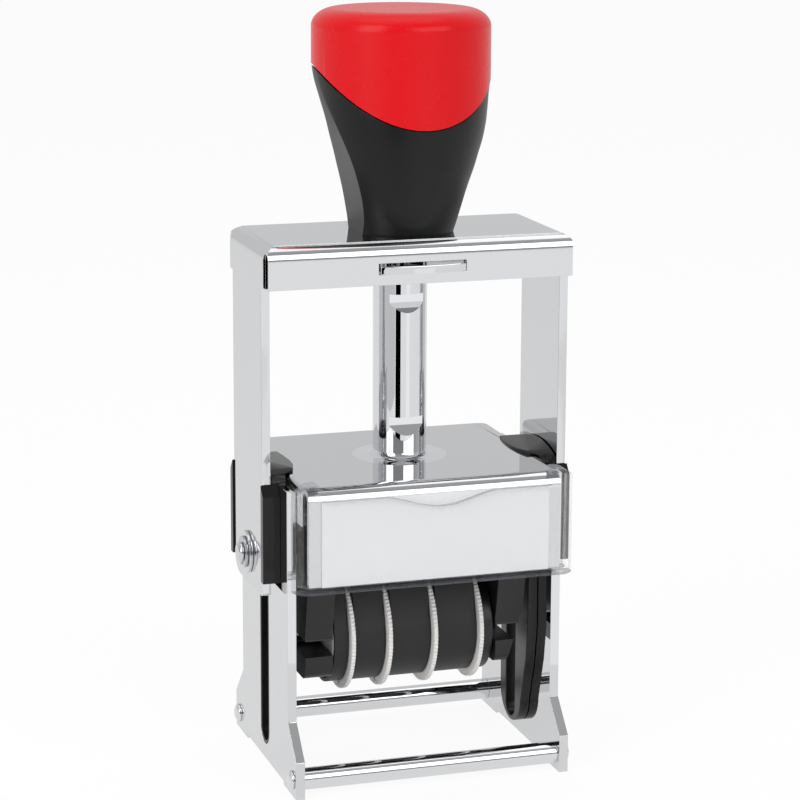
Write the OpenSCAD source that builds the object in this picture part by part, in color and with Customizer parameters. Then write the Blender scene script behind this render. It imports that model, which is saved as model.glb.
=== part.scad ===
// Self-inking date stamp: a yoke slides down over its base and turns the text unit over
// Millimetres, +X to the right, +Y to the back, +Z up, origin on the floor below the column

/* [Side plates] */
// Clear width between the side plates
base_inner_w = 50; // [44:0.5:60]
// Thickness of the side plates
plate_t = 1.75; // [1.2:0.05:2.5]
// Depth of the side plates above their feet
plate_d = 33.2; // [28:0.2:40]
// Depth of the side plates over their feet
foot_d = 44.6; // [40:0.2:52]
// Height of the feet's upright ends
foot_end_h = 7.2; // [4:0.1:9]
// Height at which the feet's slopes reach the plate
foot_slope_h = 13.2; // [11:0.1:16]
// Length of the shallow relief between the feet
relief_l = 27; // [20:0.5:30]
// Height of the relief between the feet
relief_h = 0.7; // [0.3:0.1:1.5]
// Width of the upright slots
slot_w = 6.4; // [6:0.1:7.5]
// Height of the slots' lower ends
slot_low = 3.65; // [2:0.05:5]

/* [Cross rods] */
// Diameter of the cross rods
rod_dia = 4.1; // [3:0.1:5]
// Distance between the cross rods
rod_spacing = 39.4; // [36:0.2:41]
// Height of the cross rods' axes
rod_z = 3.2; // [2.6:0.1:4]
// Diameter of the rods' riveted heads
rod_head_dia = 3.6; // [3.2:0.1:4.4]

/* [Pad housing and column] */
// Sheet thickness of the pad housing
housing_t = 1.2; // [0.8:0.1:1.5]
// Front end of the housing's flat top
housing_front_y = 20; // [18:0.2:21]
// Rear end of the housing's flat top
housing_rear_y = 19.7; // [18:0.1:22]
// How far the housing's front wall stays inside each side plate
front_wall_inset = 3.3; // [2:0.1:5]
// Outer bend radius at the housing's front
front_bend_r = 2.6; // [2:0.1:3.5]
// Diameter of the column
column_dia = 10.2; // [9:0.1:11]
// Bore of the column, which holds the return spring
column_bore = 6.8; // [6.4:0.1:7]
// Depth of the flats that the lock catch enters
flat_depth = 1.2; // [1:0.05:1.4]
// Diameter of the shallow dish round the column's foot
dish_dia = 18; // [14:0.5:22]

/* [Ink pad] */
// Thickness of the felt
felt_t = 2.7; // [2:0.1:4]
// Wall of the tray beside the felt
tray_wall = 2.35; // [1.5:0.05:3]
// Depth of the felt
felt_d = 27; // [25:0.5:28]
// Distance from the column's axis to the end of the tray's grip
grip_reach = 24.05; // [22:0.05:28]

/* [Yoke] */
// Sheet thickness of the yoke
yoke_t = 1.7; // [1.2:0.1:2]
// Depth of the yoke's legs
leg_d = 20.5; // [18:0.1:22]
// Depth of the yoke's flanged top
channel_d = 27.8; // [25:0.1:30]
// How far the flanges' ends stay inside the legs' outer faces
flange_inset = 0.5; // [0:0.1:1.5]
// Height of the yoke's flanges
channel_h = 7.95; // [7.5:0.05:9]
// Outer bend radius of the yoke
yoke_bend_r = 2.8; // [2:0.1:3.5]
// Height of the yoke's top above the housing's top, at rest
yoke_rise = 43.2; // [42:0.1:46]
// How far the yoke goes down
travel = 31; // [30:0.1:31.4]
// Length of the legs below the pivot
leg_below_pivot = 6; // [5:0.1:8]
// Radius of the legs' rounded rear corners
leg_corner_r = 4; // [2:0.5:6]

/* [Lock catch] */
// Width of the catch
catch_w = 16.4; // [14:0.2:18]
// Thickness of the catch
catch_t = 1.5; // [1:0.1:1.5]
// How far the catch's bowed front stands out of the yoke
catch_proud = 1.6; // [1.4:0.1:4]
// Bow of the catch's front
catch_bow = 1.1; // [0.5:0.1:1.4]
// Drop from the yoke's top to the catch's underside
catch_drop = 5.9; // [5.6:0.1:6]
// How far the catch can be pushed in
catch_push = 1.3; // [1:0.1:1.3]
// Drop of the yoke at which the upper notch is reached
upper_lock_drop = 7.2; // [6:0.1:10]
// Drop of the yoke at which the lower notch is reached
lower_lock_drop = 30.7; // [28:0.1:30.8]

/* [Handle] */
// Height of the handle with its cap
handle_h = 41.3; // [41:0.1:48]
// Diameter of the cap
cap_dia = 33.3; // [32:0.1:36]
// Diameter of the cap's flat top
cap_flat_dia = 24.6; // [20:0.2:28]
// Height of the cap's rounded edge
cap_edge_h = 2.7; // [1.5:0.1:4]
// Wall of the cap
cap_wall = 2; // [1.2:0.1:2.5]
// Height of the cap's seam above the yoke, at the front
seam_h = 20.4; // [18:0.1:23]
// Radius of the seam's curve, seen from the front
seam_r = 23; // [20:0.5:30]
// Rise of the seam from the front to the back, in degrees
seam_tilt = 11; // [5:0.5:15]

/* [Side guides and slot liners] */
// Wall of the guides between plate and leg
guide_wall = 1.05; // [0.8:0.05:2]
// Thickness of the guides' lips, in front of and behind the legs
lip_t = 1.6; // [1:0.1:3]
// Height of the guides' channels
guide_h = 18.4; // [14:0.2:22]
// Thickness of the ears' inner edges, which lie on the housing
ear_t = 0.4; // [0.3:0.1:1]
// Height of the ears' arched ridges above the housing
ear_rise = 1.5; // [1:0.1:3]
// How far the ears reach in from the plates' inner faces
ear_reach = 3.1; // [2:0.1:5]
// Thickness of the slot liners inside the plates
liner_t = 1.9; // [1.2:0.1:2.1]
// Width of the liners round the slots' lower ends
liner_w = 11.6; // [9:0.1:12]
// How far the liners flare to the front
liner_flare = 9.5; // [7:0.1:12]

/* [Window cover and card] */
// How far the window cover reaches out past each side plate's inner face
cover_overlap = 2; // [1.9:0.1:4]
// Wall of the window cover
cover_wall = 1.1; // [0.8:0.1:1.5]
// Height of the window cover's front
cover_h = 17.3; // [15:0.1:18]
// Radius of the window cover's ends
cover_end_r = 3.4; // [2.5:0.1:3.8]
// Width of the hooks at the window cover's ends
hook_w = 5.6; // [4.5:0.1:6]
// Width of the finger notch
notch_w = 20; // [14:0.5:28]
// Depth of the finger notch
notch_depth = 2.1; // [1:0.1:4]
// Thickness of the index card
card_t = 0.25; // [0.2:0.05:0.3]

/* [Text unit] */
// Height of the pivot above the floor, at rest
pivot_z = 42; // [41.5:0.1:42]
// Distance from the pivot to the printing face
text_reach = 10.7; // [10:0.1:10.7]
// Gap between the carrier and each slot liner
frame_gap = 1.45; // [0.4:0.05:2]
// How far the text plate stays inside each end of the carrier
text_inset = 1.1; // [1:0.1:3]
// Depth of the text plate
text_d = 24; // [20:0.2:24]
// Thickness of the carrier's cheeks
cheek_t = 5.45; // [5:0.05:5.5]
// Diameter of the pivot pins
pin_dia = 3.8; // [3:0.1:4]
// Diameter of the bushes that run in the slots
bush_dia = 4.8; // [4.6:0.1:4.8]
// Diameter of the pins' washers
washer_dia = 8; // [7:0.1:9]
// Diameter of the retaining rings
ring_dia = 6; // [5.4:0.1:7]
// How far the pins stand out of the legs
pin_end_l = 2.2; // [2:0.1:3]

/* [Date bands and thumbwheels] */
// Distance from the pivot down to the thumbwheels' axle
wheel_drop = 16.8; // [16.4:0.1:17.2]
// Diameter of the thumbwheels
wheel_dia = 22.8; // [22:0.1:23.2]
// Thickness of the thumbwheels' rims
rim_t = 0.9; // [0.7:0.05:1.2]
// Teeth round a thumbwheel
teeth = 64; // [40:2:80]
// Depth of the thumbwheels' teeth
tooth_depth = 0.3; // [0.2:0.05:0.8]
// Diameter of a date band round its drum
band_dia = 19.7; // [18:0.1:20]
// Thickness of a date band
band_t = 0.7; // [0.5:0.05:1]
// Diameter of a date band's nose at the printing face
nose_dia = 4.6; // [4:0.1:5]
// Diameter of the thumbwheels' axle
axle_dia = 3; // [2.4:0.1:3.4]

/* [Clearances] */
// Gap between pieces fixed to each other
seat_gap = 0.05; // [0.02:0.01:0.1]
// Gap between pieces that slide past each other
slide_gap = 0.25; // [0.15:0.01:0.3]
// Radial clearance of a shaft in its bore
run_gap = 0.05; // [0.02:0.01:0.1]
// Gap between the printing face and the felt
ink_gap = 0.5; // [0.4:0.1:1]

/* [Hidden] */

// Curve fineness, and a length that is larger than any piece
$fn = 48;
far = 200;
// A cut runs past the face that it leaves by this much
over = 1;

// Places across the stamp, from the middle to the outside
plate_in = base_inner_w / 2;
plate_out = plate_in + plate_t;
guide_in = plate_out + seat_gap;
guide_out = guide_in + guide_wall;
leg_in = guide_out + slide_gap;
leg_out = leg_in + yoke_t;
lip_over = 0.3;
lip_out = leg_out + lip_over;

// Heights of the ink pad, the housing and the guides
felt_z = pivot_z + text_reach + ink_gap;
tray_roof_t = 1;
tray_roof_z = felt_z + felt_t + seat_gap;
stake_t = 0.5;
housing_in_z = tray_roof_z + tray_roof_t + slide_gap + stake_t;
housing_z = housing_in_z + housing_t;
dish_depth = 0.3;
foot_ring_w = 0.8;
foot_ring_h = 0.35;
rail_t = 1;
rail_reach = 1.75;
tray_skirt = 0.4;
rail_gap = 0.15;
tray_low = felt_z - tray_skirt;
rail_z = tray_low - rail_gap - rail_t;
housing_edge_r = housing_t;
housing_corner_r = 3;
plate_drop = 1.6;
plate_top = housing_z - plate_drop;
guide_low = plate_top - guide_h;
slot_above_pivot = 4.2;
slot_high = pivot_z + slot_above_pivot;
tenon_step = 0.6;
tight_gap = 0.01;
rod_head_t = 0.45;
rivet_dia = 2.4;
rivet_y = 6;
rivet_z = (rail_z + housing_in_z) / 2;

// Ink tray
tray_w = base_inner_w - 2 * housing_t - 2 * slide_gap;
tray_front_y = -17.5;
tray_rear_y = housing_rear_y + slide_gap;
tray_grip_w = 28;
felt_w = tray_w - 2 * tray_wall;

// Yoke, handle and column heights
yoke_z = housing_z + yoke_rise;
yoke_in_z = yoke_z - yoke_t;
channel_low = yoke_z - channel_h;
leg_low = pivot_z - leg_below_pivot;
leg_front_corner_r = 0.6;
seam_side_gap = 0.1;
column_z = housing_z - dish_depth;
column_above_yoke = 4.4;
column_top = yoke_z + column_above_yoke;
column_floor_t = 1.1;
column_floor_z = housing_z + column_floor_t;
spigot_step = 0.9;
stake_r = column_dia / 2 - spigot_step;
catch_z = yoke_z - catch_drop;
catch_top = catch_z + catch_t;
catch_reach = channel_d / 2 + catch_proud;
catch_tail_w = 3.2;
catch_tail_over = 1.5;
catch_shoulder_y = 8.5;
catch_slot_side = 0.25;
catch_slot_low = 0.1;
catch_slot_over = 0.5;
flat_y = column_dia / 2 - flat_depth;
notch_flat_h = catch_t + 0.1;
notch_ramp_h = 1.9;
top_flat_over = 0.9;
bore_gap = 2 * run_gap;

// Handle
handle_top = yoke_z + handle_h;
cap_roof_t = 2.2;
cap_roof_z = handle_top - cap_roof_t;
spigot_r = cap_dia / 2 - cap_wall;
seam_gap = 0.4;
bore_end_t = 2.7;
bore_top_z = cap_roof_z - bore_end_t;
grip_seam_z = yoke_z + seam_h;
grip_round = cap_dia / 2;
// Sections of the grip: height above the yoke, half width between the hollow sides, and the Y of the
// front, of the sides' front edges, of their rear edges and of the rear
grip_sections = [
    [0, 8.85, -10.1, -4.8, 4.3, 9.7],
    [2.5, 9.05, -11.3, -6.4, 4.7, 9.8],
    [5, 9.45, -12.5, -7.4, 4.8, 9.9],
    [7.5, 10, -13.4, -8, 4.5, 10],
    [10, 10.7, -14.2, -8.4, 4, 10.15],
    [12.5, 11.5, -14.9, -8.7, 3.3, 10.25],
    [15, 12.35, -15.5, -8.5, 2.3, 10.4],
    [17.5, 13.3, -16.05, -8.05, 1.2, 10.7],
    [20, 14.2, -16.45, -7.1, 0.1, 11.3],
    [22, 14.85, -16.6, -6, -0.6, 12],
    [24, 15.45, grip_round * -1, -4.6, -1, 13],
    [26, 15.9, grip_round * -1, -3.2, -0.8, 14.2],
    [28, 16.3, grip_round * -1, -2.1, 0, 15.3],
    [30, 16.5, grip_round * -1, -1.4, 0.8, 16.2],
    [32, grip_round * cos(4), grip_round * -1, grip_round * -sin(4), grip_round * sin(4), grip_round],
    [34, grip_round * cos(4), grip_round * -1, grip_round * -sin(4), grip_round * sin(4), grip_round]];
screw_y = 7.5;
screw_dia = 2.4;
screw_head_dia = 4.2;
screw_head_t = 1.4;
screw_head_round = 1;
screw_l = 9;

// Springs
return_wire_r = 0.4;
return_spring_r = column_bore / 2 - return_wire_r - 0.3;
lock_wire_r = 0.25;
lock_spring_r = 2.3;

// Window cover and card
cover_front_y = -(housing_front_y + front_bend_r + seat_gap + card_t + seat_gap + cover_wall);
cover_back_y = -(housing_front_y + 0.1);
cover_top_z = housing_z - 2;
cover_low_z = cover_top_z - cover_h;
cover_floor_t = 0.95;
hook_z = housing_z + seat_gap + 1;
hook_corner_r = 2;
front_wall_w = base_inner_w - 2 * front_wall_inset;
cover_w = base_inner_w + 2 * cover_overlap;
card_over = 0.2;
card_w = front_wall_w + 2 * card_over;
cover_roof_t = 1;
card_below_top = 0.1;

// Text unit
pin_r = pin_dia / 2;
bush_r = bush_dia / 2;
slot_side_gap = 0.2;
liner_slot_w = bush_dia + slot_side_gap;
text_z = pivot_z + text_reach;
rubber_t = 1.5;
text_plate_t = 1.6;
deck_t = 3.2;
deck_z = text_z - rubber_t - text_plate_t;
deck_low = deck_z - deck_t;
cheek_out = plate_in - seat_gap - liner_t - frame_gap;
cheek_in = cheek_out - cheek_t;
text_w = 2 * (cheek_out - text_inset);
axle_z = pivot_z - wheel_drop;
cheek_foot = [10.3, axle_z - 6.4];
cheek_foot_r = 2;
cheek_waist = [10, axle_z + 1.9];
cheek_head = [text_d / 2, pivot_z - 5.5];
// The right cheek's foot is cut slanting on the outside, from this height above the axle
cheek_slant_h = 4;
cheek_slant = 3;
mouth_low = 1.9;
mouth_high = 1.2;
washer_t = 0.6;
ring_t = 0.5;
ring_x = leg_out + seat_gap + washer_t + seat_gap;
groove_r = pin_r - 0.4;
pin_root = 1;
pin_chamfer = 0.5;
pin_end_x = leg_out + pin_end_l;

// Bands and thumbwheels, whose places are shares of half the width between the cheeks
wheel_share = [-0.7635, -0.3121, 0.244, 0.8124];
wheel_x = wheel_share * cheek_in;
drum_end = cheek_in - 0.3;
side_gap = 0.15;
axle_r = axle_dia / 2;
drum_gap = 0.3;
drum_r = band_dia / 2 - band_t - drum_gap;
platen_web = 2.4;
platen_root = 1.5;
platen_low = deck_low - 2;
platen_gap = 0.1;
axle_step = 0.8;
rubber_step = 0.2;
band_top_dist = text_z - nose_dia / 2 - axle_z;
deck_window_d = 8.4;
text_window_d = nose_dia + 1.2;
window_w = 2 * drum_end + 2 * platen_gap;

// Extrudes a drawing in Y and Z from x0 to x1
module along_x(x0, x1)
    translate([x0, 0, 0])
        rotate([90, 0, 90])
            linear_extrude(x1 - x0)
                children();

// Extrudes a drawing in X and Z from y0 to y1
module along_y(y0, y1)
    translate([0, y1, 0])
        rotate([90, 0, 0])
            linear_extrude(y1 - y0)
                children();

// Extrudes a drawing in X and Y from z0 to z1
module along_z(z0, z1)
    translate([0, 0, z0])
        linear_extrude(z1 - z0)
            children();

// A round bar along X from x0 to x1
module bar_x(x0, x1, r, y, z)
    translate([x0, y, z])
        rotate([0, 90, 0])
            cylinder(h = x1 - x0, r = r);

// Puts a piece that is drawn on the right on the left (-1) or the right (1)
module on_side(side)
    mirror([side < 0 ? 1 : 0, 0, 0])
        children();

// A box between two corners
module block(low, high)
    translate(low)
        cube(high - low);

// An upright slot with round ends
module slot_outline(w, low, high) {
    translate([-w / 2, low + w / 2])
        square([w, high - low - w]);
    for (z = [low + w / 2, high - w / 2])
        translate([0, z])
            circle(d = w);
}

// A rectangle about the middle with round upper corners
module round_top_outline(w, low, high, r) {
    translate([-w / 2, low])
        square([w, high - low - r]);
    translate([-w / 2 + r, low])
        square([w - 2 * r, high - low]);
    for (x = [-1, 1])
        translate([x * (w / 2 - r), high - r])
            circle(r = r);
}

// What a round corner of radius r takes away, with the corner at the origin
module corner_cut(r)
    difference() {
        square(r + over);
        circle(r = r);
    }

// Side plates

module plate_outline()
    difference() {
        polygon([[-foot_d / 2, 0], [-relief_l / 2, 0], [-relief_l / 2, relief_h],
            [relief_l / 2, relief_h], [relief_l / 2, 0], [foot_d / 2, 0], [foot_d / 2, foot_end_h],
            [plate_d / 2, foot_slope_h], [plate_d / 2, plate_top], [-plate_d / 2, plate_top],
            [-plate_d / 2, foot_slope_h], [-foot_d / 2, foot_end_h]]);
        slot_outline(slot_w, slot_low, slot_high);
    }

module side_plate(side)
    color("silver")
        on_side(side)
            difference() {
                along_x(plate_in, plate_out)
                    plate_outline();
                for (y = [-1, 1]) {
                    bar_x(plate_in - over, plate_out + over, rod_dia / 2 - tenon_step,
                        y * rod_spacing / 2, rod_z);
                    bar_x(plate_in - over, plate_out + over, rivet_dia / 2, y * rivet_y, rivet_z);
                }
            }

// A cross rod with shoulders between the plates and riveted heads outside them
module cross_rod(y)
    color("gainsboro") {
        bar_x(-plate_in, plate_in, rod_dia / 2, y, rod_z);
        bar_x(-plate_out, plate_out, rod_dia / 2 - tenon_step - tight_gap, y, rod_z);
        for (side = [-1, 1])
            on_side(side)
                translate([plate_out, y, rod_z])
                    rotate([0, 90, 0]) {
                        cylinder(h = rod_head_t, d = rod_head_dia);
                        translate([0, 0, rod_head_t])
                            cylinder(h = rod_head_t, d1 = rod_head_dia, d2 = rod_head_dia / 2);
                    }
    }

// Pad housing

module housing_section()
    difference() {
        round_top_outline(base_inner_w - 2 * seat_gap, rail_z, housing_z, housing_edge_r);
        translate([-plate_in + seat_gap + housing_t, rail_z + rail_t])
            square([base_inner_w - 2 * seat_gap - 2 * housing_t, housing_in_z - rail_z - rail_t]);
        translate([-plate_in + seat_gap + housing_t + rail_reach, rail_z - over])
            square([base_inner_w - 2 * (seat_gap + housing_t + rail_reach), rail_t + 2 * over]);
    }

module front_wall_section() {
    bend_z = housing_z - front_bend_r;
    translate([-housing_front_y, bend_z])
        intersection() {
            difference() {
                circle(r = front_bend_r);
                circle(r = front_bend_r - housing_t);
            }
            translate([-far, 0])
                square(far);
        }
    translate([-housing_front_y - front_bend_r, cover_low_z + cover_floor_t + seat_gap])
        square([housing_t, bend_z - cover_low_z - cover_floor_t - seat_gap]);
}

module pad_housing()
    color("darkgray")
        difference() {
            union() {
                along_y(-housing_front_y, housing_rear_y)
                    housing_section();
                along_x(-front_wall_w / 2, front_wall_w / 2)
                    front_wall_section();
            }
            for (m = [0, 1])
                mirror([m, 0, 0])
                    translate([plate_in - seat_gap - housing_corner_r, housing_rear_y - housing_corner_r, 0])
                        along_z(rail_z - over, housing_z + over)
                            corner_cut(housing_corner_r);
            translate([0, 0, column_z])
                cylinder(h = dish_depth, d1 = column_dia + 2 * foot_ring_w, d2 = dish_dia);
            translate([0, 0, housing_z])
                cylinder(h = over, d = dish_dia);
            translate([0, 0, housing_in_z - over])
                cylinder(h = far, r = stake_r + tight_gap);
            for (side = [-1, 1], y = [-1, 1])
                on_side(side)
                    bar_x(plate_in - 2 * housing_t, plate_in + over, rivet_dia / 2, y * rivet_y, rivet_z);
        }

module housing_rivets()
    color("gray")
        for (side = [-1, 1], y = [-1, 1])
            on_side(side)
                bar_x(plate_in - seat_gap - housing_t, plate_out, rivet_dia / 2 - tight_gap, y * rivet_y,
                    rivet_z);

// Column

// Side view of one lock notch below the height z
module notch_outline(z)
    polygon([[-flat_y, z], [-far, z], [-far, z - notch_flat_h - notch_ramp_h],
        [-column_dia / 2, z - notch_flat_h - notch_ramp_h], [-flat_y, z - notch_flat_h]]);

module column()
    color("gainsboro")
        difference() {
            union() {
                translate([0, 0, column_z])
                    cylinder(h = column_top - column_z, d = column_dia);
                translate([0, 0, column_z])
                    cylinder(h = foot_ring_h, d = column_dia + foot_ring_w);
                translate([0, 0, housing_in_z - stake_t])
                    cylinder(h = column_z - housing_in_z + stake_t, r = stake_r);
                translate([0, 0, housing_in_z - stake_t])
                    cylinder(h = stake_t, d = column_dia);
            }
            translate([0, 0, column_floor_z])
                cylinder(h = far, d = column_bore);
            along_x(-column_dia, column_dia) {
                notch_outline(catch_top - upper_lock_drop);
                notch_outline(catch_top - lower_lock_drop);
            }
            block([-column_dia, -far, catch_z - top_flat_over], [column_dia, -flat_y, far]);
        }

// Side guides

// Plan of a guide's channel, open to the outside where the leg runs
module guide_plan()
    difference() {
        translate([guide_in, -leg_d / 2 - slide_gap - lip_t])
            square([lip_out - guide_in, leg_d + 2 * slide_gap + 2 * lip_t]);
        translate([guide_out, -leg_d / 2 - slide_gap])
            square([far, leg_d + 2 * slide_gap]);
    }

// Front view of the ear that closes the gap above the plate and lies on the housing
module ear_section() {
    ear_in = plate_in - ear_reach;
    difference() {
        polygon([[ear_in, plate_top + seat_gap], [guide_out, plate_top + seat_gap],
            [guide_out, housing_z + ear_rise], [ear_in, housing_z + seat_gap + ear_t]]);
        translate([0, plate_top])
            square([plate_in, housing_z + seat_gap - plate_top]);
    }
}

// Plan of the ear, with a pointed rear end and a beak at the front
module ear_plan() {
    ear_in = plate_in - ear_reach;
    polygon([[guide_out, leg_d / 2], [ear_in + 0.8, leg_d / 3], [ear_in + 0.25, 3], [ear_in, -1],
        [ear_in + 0.3, -4.5], [ear_in + 1.4, 2 - leg_d / 2], [plate_in, 1 - leg_d / 2],
        [guide_out, -leg_d / 2]]);
}

// Side view of the ear's arched ridge
module ear_arch() {
    arch_r = 26;
    translate([-1, housing_z + ear_rise - arch_r])
        circle(r = arch_r, $fn = 96);
}

module side_guide(side) {
    lip_y = leg_d / 2 + slide_gap + lip_t;
    chamfer = 1.9;
    color("dimgray")
        on_side(side)
            difference() {
                union() {
                    along_z(guide_low, plate_top)
                        guide_plan();
                    along_z(plate_top, plate_top + seat_gap)
                        translate([guide_in, -leg_d / 2])
                            square([guide_wall, leg_d]);
                    intersection() {
                        along_y(-far, far)
                            ear_section();
                        along_z(0, far)
                            ear_plan();
                        along_x(0, far)
                            ear_arch();
                    }
                }
                for (m = [0, 1])
                    mirror([0, m, 0])
                        along_x(0, far)
                            polygon([[-lip_y, plate_top - chamfer], [-far, plate_top - chamfer],
                                [-far, far], [-lip_y + lip_t, far], [-lip_y + lip_t, plate_top]]);
                along_x(plate_in, guide_out + over)
                    slot_outline(bush_dia + 2 * slot_side_gap, guide_low - far,
                        pivot_z + bush_r + 2 * slot_side_gap);
            }
}

// Slot liners

module liner_outline() {
    half = liner_w / 2;
    round_z = slot_low + half - slot_side_gap;
    liner_top = rail_z - housing_t;
    bend_h = 9;
    flare_h = 15.5;
    polygon([[half, round_z], [half, liner_top], [-liner_flare, liner_top],
        [-liner_flare, round_z + flare_h], [-liner_flare + 1, round_z + bend_h], [-half, round_z]]);
    translate([0, round_z])
        circle(r = half);
}

module slot_liner(side)
    color("dimgray")
        on_side(side)
            difference() {
                union() {
                    along_x(plate_in - seat_gap - liner_t, plate_in - seat_gap)
                        liner_outline();
                    along_x(plate_in - seat_gap - liner_t, plate_out)
                        slot_outline(slot_w - 2 * seat_gap, slot_low + seat_gap, slot_high - seat_gap);
                }
                along_x(0, far)
                    slot_outline(liner_slot_w, slot_low + (slot_w - liner_slot_w) / 2,
                        slot_high - (slot_w - liner_slot_w) / 2);
            }

// Window cover and card

// Plan of the cover with round front corners, drawn at an inset
module cover_plan(inset) {
    r = cover_end_r - inset;
    half = cover_w / 2 - inset;
    front = cover_front_y + inset;
    back = cover_back_y + (inset > 0 ? over : 0);
    translate([-half, front + r])
        square([2 * half, back - front - r]);
    intersection() {
        translate([-half, front])
            square([2 * half, back - front]);
        for (x = [-1, 1])
            translate([x * (half - r), front + r])
                circle(r = r);
    }
    translate([-half + r, front])
        square([2 * half - 2 * r, r + tight_gap]);
}

// Front view of the cover with a hook at each end and the finger notch
module cover_front() {
    notch_r = (notch_w * notch_w / 4 + notch_depth * notch_depth) / (2 * notch_depth);
    hook_mid = cover_w / 2 - hook_w / 2;
    difference() {
        translate([-cover_w / 2, cover_low_z])
            square([cover_w, cover_h]);
        translate([0, cover_top_z - notch_depth + notch_r])
            circle(r = notch_r, $fn = 96);
    }
    for (x = [-1, 1])
        translate([x * hook_mid, 0])
            round_top_outline(hook_w, cover_low_z, hook_z, hook_corner_r);
}

module window_cover()
    color("lightcyan", 0.4)
        difference() {
            intersection() {
                along_z(cover_low_z, hook_z)
                    cover_plan(0);
                along_y(-far, 0)
                    cover_front();
            }
            along_z(cover_low_z + cover_floor_t, housing_z + seat_gap)
                cover_plan(cover_wall);
        }

module index_card() {
    card_y = -housing_front_y - front_bend_r - seat_gap;
    color("whitesmoke")
        block([-card_w / 2, card_y - card_t, cover_low_z + cover_floor_t + seat_gap],
            [card_w / 2, card_y, cover_top_z - card_below_top]);
}

// Ink pad

module ink_pad_tray()
    color("dimgray")
        difference() {
            union() {
                block([-tray_w / 2, tray_front_y, tray_low],
                    [tray_w / 2, tray_rear_y, tray_roof_z + tray_roof_t]);
                block([-tray_grip_w / 2, tray_rear_y, rail_z], [tray_grip_w / 2, grip_reach, housing_in_z]);
            }
            block([-felt_w / 2 - seat_gap, -felt_d / 2 - seat_gap, 0],
                [felt_w / 2 + seat_gap, felt_d / 2 + seat_gap, tray_roof_z]);
        }

module ink_pad_felt()
    color("midnightblue")
        block([-felt_w / 2, -felt_d / 2, felt_z], [felt_w / 2, felt_d / 2, felt_z + felt_t]);

// Yoke

// Front view of the yoke's outside (inset 0) or inside (inset yoke_t)
module yoke_front(inset)
    round_top_outline(2 * (leg_out - inset), 0, yoke_z - inset, yoke_bend_r - inset);

// Side view of the flanged top at an inset
module channel_side(inset)
    round_top_outline(channel_d - 2 * inset, inset > 0 ? 0 : channel_low, yoke_z - inset,
        yoke_bend_r - inset);

// Side view of a leg: wider at the flanges, with its rear lower corner round
module leg_side() {
    wide = channel_d / 2 - yoke_t - seam_side_gap;
    flare_z = channel_low + seam_side_gap;
    difference() {
        union() {
            translate([-leg_d / 2, leg_low])
                square([leg_d, yoke_z - leg_low]);
            translate([-wide, flare_z])
                square([2 * wide, yoke_z - flare_z]);
        }
        translate([leg_d / 2 - leg_corner_r, leg_low + leg_corner_r])
            mirror([0, 1])
                corner_cut(leg_corner_r);
        translate([-leg_d / 2 + leg_front_corner_r, leg_low + leg_front_corner_r])
            rotate(180)
                corner_cut(leg_front_corner_r);
    }
}

// The sheet between two forms of the yoke, one sheet thickness apart
module bridge() {
    slot_z = catch_z - catch_slot_low;
    slot_top = catch_top + catch_slot_over;
    slot_w = catch_w / 2 + catch_slot_side;
    tail_w = catch_tail_w / 2 + catch_slot_side;
    tail_top = catch_top + catch_slot_low;
    flange_x = leg_out - flange_inset;
    color("silver")
        difference() {
            union() {
                intersection() {
                    along_y(-channel_d / 2, channel_d / 2)
                        difference() {
                            yoke_front(0);
                            yoke_front(yoke_t);
                        }
                    along_x(-leg_out, leg_out)
                        leg_side();
                }
                intersection() {
                    along_x(-flange_x, flange_x)
                        difference() {
                            channel_side(0);
                            channel_side(yoke_t);
                        }
                    along_y(-channel_d / 2, channel_d / 2)
                        yoke_front(0);
                }
            }
            translate([0, 0, yoke_in_z - over])
                cylinder(h = far, r = column_dia / 2 + bore_gap);
            for (y = [-screw_y, screw_y])
                translate([0, y, yoke_in_z - over])
                    cylinder(h = far, d = screw_dia + 2 * bore_gap);
            block([-slot_w, -far, slot_z], [slot_w, 0, slot_top]);
            block([-tail_w, 0, slot_z], [tail_w, far, tail_top]);
            bar_x(-far, far, pin_r + run_gap, 0, pivot_z);
        }
}

// Lock catch

module lock_catch() {
    catch_gap = 0.35;
    front_window_y = column_dia / 2 + 0.5;
    wing = 1.6;
    wing_d = 3;
    bow_r = (catch_w * catch_w / 4 + catch_bow * catch_bow) / (2 * catch_bow);
    color("gainsboro")
        along_z(catch_z, catch_top)
            difference() {
                union() {
                    intersection() {
                        translate([-catch_w / 2, -catch_reach])
                            square([catch_w, catch_reach + catch_shoulder_y]);
                        translate([0, bow_r - catch_reach])
                            circle(r = bow_r, $fn = 96);
                    }
                    translate([-catch_w / 2 - wing, -channel_d / 2 + yoke_t + slide_gap])
                        square([catch_w + 2 * wing, wing_d]);
                    translate([-catch_tail_w / 2, 0])
                        square([catch_tail_w, channel_d / 2 + catch_tail_over]);
                }
                circle(r = column_dia / 2 + catch_gap);
                translate([-column_dia / 2 - catch_gap, -front_window_y])
                    square([column_dia + 2 * catch_gap, front_window_y]);
            }
}

// Handle

// Points of an arc about the column's plane from one side edge of a section to the other
function side_arc(half_w, edge, end) =
    let (
        depth = end - edge,
        r = (half_w * half_w + depth * depth) / (2 * depth),
        mid = end - r,
        lean = atan2(edge - mid, half_w),
        steps = 28
    )
    [for (k = [0:steps]) let (t = lean + (180 - 2 * lean) * k / steps) [r * cos(t), mid + r * sin(t)]];

// Outline of the grip at one of its sections
function grip_ring(section) =
    let (
        rear = side_arc(section[1], section[4], section[5]),
        front = side_arc(section[1], -section[3], -section[2])
    )
    [for (p = rear) [p[0], p[1], yoke_z + section[0]],
        for (p = front) [-p[0], -p[1], yoke_z + section[0]]];

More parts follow.
